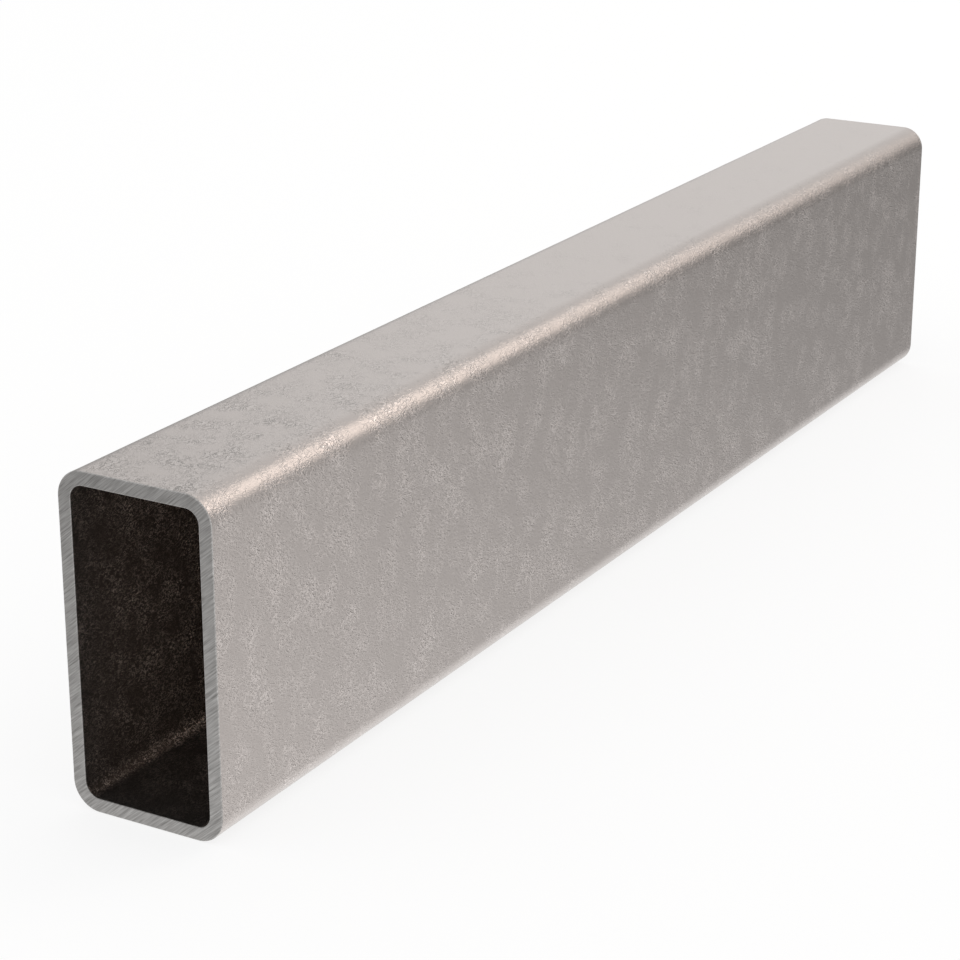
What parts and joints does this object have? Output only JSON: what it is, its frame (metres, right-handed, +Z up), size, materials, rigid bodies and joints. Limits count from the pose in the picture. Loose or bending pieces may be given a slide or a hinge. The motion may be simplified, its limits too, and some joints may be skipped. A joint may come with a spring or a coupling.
{
  "type": "steel reinforcement insert",
  "caption": "Straight length of rectangular steel hollow section with round corners and sawn ends, which slides inside a hollow frame profile to stiffen it.",
  "frame": {"origin": "middle of the underside, halfway along the length, on the floor that the tube stands on", "axes": "+Y along the tube's length, towards the end that is far in the picture; +X across the narrow side, towards the wide side that shows; +Z up the wide side"},
  "size_m": [0.06, 0.6, 0.12],
  "materials": {
    "mill_steel": "bare cold-formed strip with a dull, slightly crumpled mill surface; sawn ends; dark scale inside"
  },
  "bodies": {
    "root": {"box_section": "mill_steel"}
  },
  "joints": []
}
